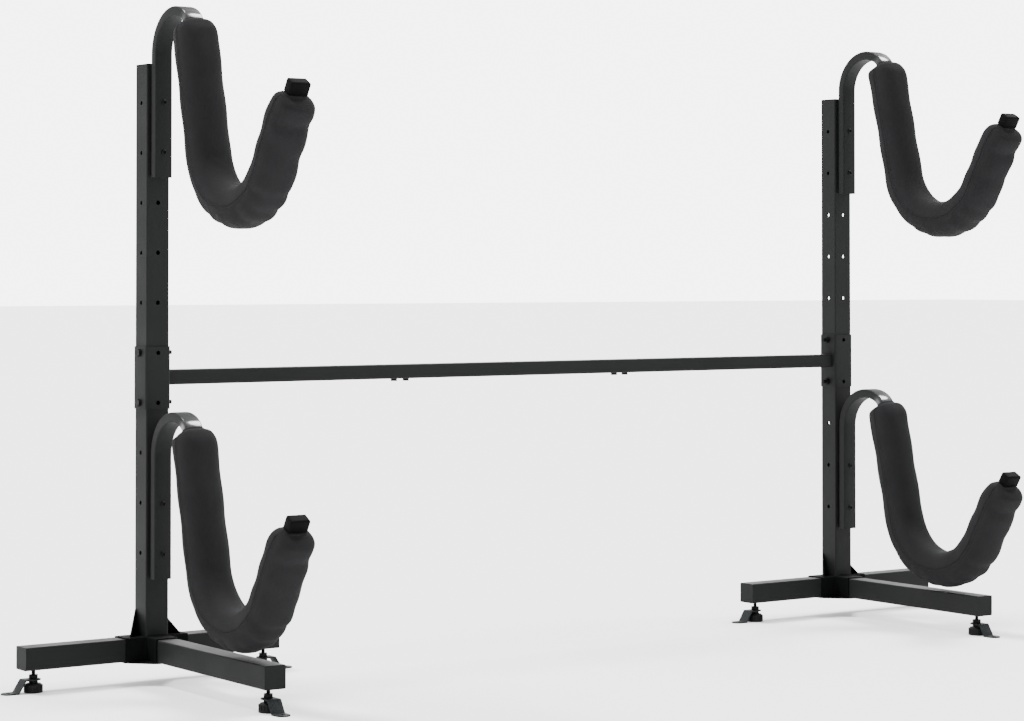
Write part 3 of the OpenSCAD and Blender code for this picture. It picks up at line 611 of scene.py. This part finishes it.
def swollen(points, wobble):
    # Runs the cloth from a start with slight waves and caps how far each point moves
    rows, columns = points.shape[:2]
    fromEnd = np.minimum(np.arange(rows), np.arange(rows)[::-1])
    held = np.repeat(fromEnd < padShape["heldRings"], columns)
    flat = points.reshape(-1, 3)
    waves = np.sin(flat @ np.array(coverCloth["waveTurns"]) + coverCloth["waveShift"] * wobble)[:, None]
    height = waves * coverCloth["waveHeight"] * np.where(held, 0, 1)[:, None]
    start = flat + height * normals(points).reshape(-1, 3)
    moved = puffed(start / 1000, coverFaces(rows, columns), held) * 1000 - flat
    length = np.linalg.norm(moved, axis=1, keepdims=True)
    print(f"  cover moved {length.mean():.2f} mm on average, {length.max():.2f} at most")
    return (flat + moved * np.minimum(1, padShape["cap"] / np.maximum(length, tiny))).reshape(points.shape)


def normals(points):
    # Outward unit normals of a grid whose rings close on themselves: the step along crossed with the
    # step around, turned away from the ring's middle
    along = np.gradient(points, axis=0)
    around = np.roll(points, -1, axis=1) - np.roll(points, 1, axis=1)
    normal = np.cross(along, around)
    normal /= np.maximum(np.linalg.norm(normal, axis=2, keepdims=True), tiny)
    away = points - points.mean(axis=1, keepdims=True)
    return normal * np.where((normal * away).sum(axis=2, keepdims=True) < 0, -1, 1)


def stitchRow(line, up):
    # Stitches along a line of the cover: short threads that rise out of the cloth and dip back into it,
    # each a tube of five rings
    length = np.concatenate([[0], np.cumsum(np.linalg.norm(np.diff(line, axis=0), axis=1))])
    centres = np.arange(seams["ends"], length[-1] - seams["ends"], seams["pitch"])
    count, stations, sides = len(centres), len(seams["along"]), seams["sides"]
    place = (centres[:, None] + np.array(seams["along"]) * seams["stitch"]).ravel()
    point, normal = (np.stack([np.interp(place, length, column) for column in values.T], axis=-1)
                     for values in (line, up))
    normal /= np.linalg.norm(normal, axis=1, keepdims=True)
    side = np.cross(np.gradient(point, axis=0), normal)
    side /= np.linalg.norm(side, axis=1, keepdims=True)
    turn = np.linspace(0, 2 * math.pi, sides, endpoint=False)[None, :, None]
    ring = np.cos(turn) * side[:, None, :] + np.sin(turn) * normal[:, None, :]
    centre = point + normal * np.tile(seams["rise"], count)[:, None]
    thick = np.tile(np.array(seams["thin"]) * seams["thread"], count)[:, None, None]
    rings = (centre[:, None, :] + ring * thick).reshape(count, stations, sides, 3)
    return [ringBody(stitch) for stitch in rings]


def weaveMap(piece, around, d):
    # The cloth laid flat, in metres: girth round the sleeve by distance along it
    uv = piece.data.uv_layers.new(name="cloth")
    vertex = np.zeros(len(piece.data.loops), int)
    piece.data.loops.foreach_get("vertex_index", vertex)
    u = (vertex % around) / around * padShape["girth"]
    uv.data.foreach_set("uv", np.stack([u, d[vertex // around] / 1000], axis=-1).ravel())


def makePads():
    # Each level's sleeve is made once, as the left one, and mirrored for the right
    around = len(padColumns())
    seamColumns = np.array([0, around // 2])
    free = slice(padShape["heldRings"], -padShape["heldRings"])
    beside = seams["rowColumns"]
    for level, wobble in padShape["wobble"].items():
        d, wide, out = padSkin(padShape["slack"])
        skin = swollen(alongArm(padShape["from"] + d[:, None], wide, out), wobble)
        up = normals(skin)
        skin[free, seamColumns] -= up[free, seamColumns] * seams["depth"]
        rows = [stitchRow(skin[free, column], up[free, column])
                for seam in seamColumns for column in ((seam + beside) % around, seam - beside)]
        stitchPoints, stitchFaces = joined([stitch for row in rows for stitch in row])
        for side, flip in (("left", 1), ("right", -1)):
            piece = newPiece(f"{side}_{level}_padded_sleeve", atArm(side, level, skin * (flip, 1, 1)),
                             coverFaces(len(skin), around), "pad_cloth")
            weaveMap(piece, around, d)
            smooth = piece.modifiers.new("smooth", "SUBSURF")
            smooth.levels = smooth.render_levels = 1
            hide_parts(f"{side}_{level}_pad")
            newPiece(f"{side}_{level}_pad_stitches", atArm(side, level, stitchPoints * (flip, 1, 1)),
                     stitchFaces, "pad_cloth", finish=thread)


makePads()
print("pads made")


# Rubber cap pushed over each arm's end: its rim meets the pad's hem, its top edges are well rounded.
# Millimetres and degrees
armCap = {"from": armLength - 23.5, "to": armLength + 3.0, "halfWide": 20.8, "halfOut": 11.8,
          "wall": 1.5, "corner": 3.0, "leastCorner": 0.6, "lip": 0.6,
          "edge": 4.5, "edgeRings": 6, "sharp": 60.0}


def makeArmCaps():
    # Rounded boxes at (place along the arm, inset): from the arm's end down inside the wall, round the
    # rim's lip, up the outside and over a quarter circle to the flat top
    cap = armCap
    turn = np.linspace(0, math.pi / 2, cap["edgeRings"])
    rows = [(armLength, cap["wall"]), (cap["from"], cap["wall"]), (cap["from"], cap["lip"]),
            (cap["from"] + cap["lip"], 0.0)]
    rows += zip(cap["to"] - cap["edge"] * (1 - np.sin(turn)), cap["edge"] * (1 - np.cos(turn)))
    rings = []
    for place, inset in rows:
        wide, out = roundedBox(cap["halfWide"] - inset, cap["halfOut"] - inset,
                               max(cap["corner"] - inset, cap["leastCorner"]), perCorner=4)
        rings.append(alongArm(np.full(len(wide), place), wide, out))
    points, faces = ringBody(rings)
    for side in rack["postX"]:
        both = joined([(atArm(side, level, points), faces) for level in rack["armFoot"]])
        piece = newPiece(f"{side}_arm_rubber_caps", *both, "arm_cap_rubber", sharp=cap["sharp"])
        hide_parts(f"{side}_arm_caps")


makeArmCaps()
print("arm caps made")

bodyOf = {node: body for body, nodes in frame["record"]["behaviour"]["bodies"].items() for node in nodes}

# Edges that paint, plating or a mould rounds: points closer than merge, in metres, become one, faces that
# differ by less than flat, in degrees, become one, and edges of more than sharp, in degrees, are rounded
edgeWork = {"merge": 1e-5, "flat": 2.0, "sharp": 35.0, "segments": 2}
# New name and width of the rounding, in millimetres: pieces of one side, then pieces of the whole rack
sideEdges = {
    "base_hub": ("welded_hub", 0.8),
    "gusset_plates": ("cut_gussets", 0.5),
    "post_coupler": ("coupler_sleeve", 0.5),
    "post_cap": ("post_plug", 1.2),
    "outer_strap": ("outer_anchor", 0.5),
    "inner_strap": ("inner_anchor", 0.5),
    "front_strap": ("front_anchor", 0.5),
    "outer_foot": ("outer_grip", 0.5),
    "inner_foot": ("inner_grip", 0.5),
    "front_foot": ("front_grip", 0.5),
}
rackEdges = {
    "leg_end_caps": ("leg_end_plugs", 1.0),
    "splice_bolts": ("splice_hex_bolts", 0.4),
    "coupler_bolts": ("coupler_hex_bolts", 0.4),
    "coupler_nuts": ("coupler_hex_nuts", 0.4),
    "arm_bolts": ("arm_socket_bolts", 0.5),
    "arm_nuts": ("arm_hex_nuts", 0.4),
}


def soften(name, newName, width):
    # The CAD piece in its place and size, with rounded edges
    node = frame["nodes"][name]
    mesh = node.data.copy()
    mesh.name = newName
    mesh.transform(node.matrix_world)
    flat, sharp = math.radians(edgeWork["flat"]), math.radians(edgeWork["sharp"])
    work = bmesh.new()
    work.from_mesh(mesh)
    bmesh.ops.remove_doubles(work, verts=work.verts, dist=edgeWork["merge"])
    bmesh.ops.dissolve_limit(work, angle_limit=flat, verts=work.verts, edges=work.edges)
    work.to_mesh(mesh)
    work.free()
    mesh.polygons.foreach_set("use_smooth", np.full(len(mesh.polygons), True))
    mesh.set_sharp_from_angle(angle=sharp)
    piece = bpy.data.objects.new(newName, mesh)
    bpy.context.scene.collection.objects.link(piece)
    edge = piece.modifiers.new("edges", "BEVEL")
    edge.width = width / 1000
    edge.segments = edgeWork["segments"]
    edge.limit_method = "ANGLE"
    edge.angle_limit = sharp
    edge.use_clamp_overlap = True
    edge.harden_normals = True
    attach(piece, bodyOf[name])
    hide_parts(name)


def makeSoftEdges():
    for side in rack["postX"]:
        for part, (newName, width) in sideEdges.items():
            soften(f"{side}_{part}", f"{side}_{newName}", width)
    for name, (newName, width) in rackEdges.items():
        soften(name, newName, width)


makeSoftEdges()
print("edges softened")


# Levelling stud: threaded rod with a hex collar under the anchor strap and a lock nut over it. Millimetres
# and degrees
stud = {
    "radius": 4.0, "pitch": 1.25, "depth": 0.65, "from": 3.0, "to": 71.0,
    "cut": (8.0, 69.0),         # the threaded stretch
    "chamfer": 0.5,             # of the rod's ends
    "shank": 0.3,               # share of the depth that is taken off where there is no thread
    "around": 20, "ringsPerTurn": 4,
    "hexes": [(18.0, 24.0), (26.8, 34.8)], "flats": 17.0,
    "hexAround": 36,
    "hexChamfer": [0.0, 0.3, 0.8],        # heights of the chamfer's rings
    "faceShare": 0.98,                    # the flat end's share of the width over the flats
    "coneSlope": 1.73,                    # how fast the chamfer's cone widens
    "sharp": 30.0,
}
footReach = {"outer": rack["sideReach"] - rack["footInset"], "inner": rack["sideReach"] - rack["footInset"],
             "front": rack["frontReach"] - rack["footInset"]}


def footPlace(side, leg):
    x, y, reach = rack["postX"][side], rack["postY"], footReach[leg]
    if leg == "front":
        return x, y - reach, 0.0
    away = math.copysign(1, x) * (1 if leg == "outer" else -1)
    return x + away * reach, y, 0.0


def hexBody(low, high):
    # Hexagon a / cos(angle - 30 degrees) cut by a cone at both ends, as a turned chamfer cuts it
    around, half = stud["hexAround"], stud["flats"] / 2
    turn = np.arange(around) * math.radians(360 / around)
    edge = half / np.cos(turn % math.radians(60) - math.radians(30))
    heights = stud["hexChamfer"]
    rings = []
    for z, h in [(low + h, h) for h in heights] + [(high - h, h) for h in heights[::-1]]:
        r = np.minimum(edge, half * stud["faceShare"] + h * stud["coneSlope"])
        rings.append(np.stack([r * np.cos(turn), r * np.sin(turn), np.full(around, z)], axis=-1))
    return ringBody(rings)


def threadedRod():
    # Radius less depth times a triangle wave of height / pitch - turn, which is a single-start thread
    (cutLow, cutHigh), low, high = stud["cut"], stud["from"], stud["to"]
    pitch, chamfer, around = stud["pitch"], stud["chamfer"], stud["around"]
    turn = np.linspace(0, 2 * math.pi, around, endpoint=False)
    cut = np.arange(cutLow, cutHigh, pitch / stud["ringsPerTurn"])
    z = np.concatenate([[low, low + chamfer], cut, [high - chamfer, high]])[:, None]
    wave = 2 * np.abs((z / pitch - turn[None, :] / (2 * math.pi)) % 1 - 0.5)
    r = stud["radius"] - stud["depth"] * np.where((z >= cutLow) & (z < cutHigh), wave, stud["shank"])
    r[[0, -1]] -= chamfer
    return ringBody(np.stack([r * np.cos(turn), r * np.sin(turn), np.repeat(z, around, axis=1)], axis=-1))


def makeStuds():
    points, faces = joined([threadedRod()] + [hexBody(low, high) for low, high in stud["hexes"]])
    for side in rack["postX"]:
        for leg in footReach:
            piece = newPiece(f"{side}_{leg}_threaded_stud", (points + footPlace(side, leg)) / 1000, faces,
                             "black_fastener", body=f"{side}_{leg}_leveller", sharp=stud["sharp"])
            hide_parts(f"{side}_{leg}_stud")


makeStuds()
print("studs threaded")


# Plain pale floor, so wide that its edge lies close under the horizon. Metres
studioFloor = {"reach": 60, "colour": "#f4f4f4", "rough": 0.95, "gloss": 0.1}


def makeStage():
    material, tree, shader = newMaterial("paleStudioFloor")
    fillInputs(tree, shader, {
        "Base Color": linearColour(studioFloor["colour"]),
        "Roughness": studioFloor["rough"],
        "Specular IOR Level": studioFloor["gloss"],
    })
    mesh = bpy.data.meshes.new("floor")
    reach = studioFloor["reach"]
    corners = [(-reach, -reach, 0), (reach, -reach, 0), (reach, reach, 0), (-reach, reach, 0)]
    mesh.from_pydata(corners, [], [(0, 1, 2, 3)])
    mesh.materials.append(material)
    floor = bpy.data.objects.new("floor", mesh)
    bpy.context.scene.collection.objects.link(floor)


# A soft sun from above, a fill from the upper right that glints on the tight bends, and a studio that is
# brighter behind the rack. Toward points at the light; spread is in degrees. The studio's strength grows
# from front to back as the cosine of the angle to toward grows from edge to core
lights = {
    "sun": {"toward": (-0.25, 0.35, 0.9), "spread": 20.0, "power": 5.5},
    "fill": {"toward": (0.56, -0.05, 0.83), "spread": 22.0, "power": 4.0},
    "studio": {"toward": (0.5758, 0.8175, 0.05), "front": 1.15, "back": 6.0, "edge": 0.5, "core": 0.97},
}
lampPlace = (0, 0, 3)      # any place does, because a sun shines alike everywhere


def makeLights():
    for name in ("sun", "fill"):
        spec = lights[name]
        light = bpy.data.lights.new(name, "SUN")
        light.angle = math.radians(spec["spread"])
        light.energy = spec["power"]
        lamp = bpy.data.objects.new(name, light)
        bpy.context.scene.collection.objects.link(lamp)
        lamp.matrix_world = facingMatrix(lampPlace, spec["toward"])
    spec = lights["studio"]
    world = bpy.data.worlds.new("studio")
    world.use_nodes = True
    tree = world.node_tree
    direction = addNode(tree, "ShaderNodeTexCoord").outputs["Generated"]
    facing = addNode(tree, "ShaderNodeVectorMath", {0: direction, 1: spec["toward"]}, operation="DOT_PRODUCT")
    ends = {"From Min": spec["edge"], "From Max": spec["core"],
            "To Min": spec["front"], "To Max": spec["back"]}
    power = addNode(tree, "ShaderNodeMapRange", {"Value": facing.outputs["Value"], **ends},
                    interpolation_type="SMOOTHSTEP")
    fillInputs(tree, tree.nodes["Background"], {"Color": (1, 1, 1, 1), "Strength": power.outputs["Result"]})
    bpy.context.scene.world = world


makeStage()
makeLights()
print("stage and lights set")
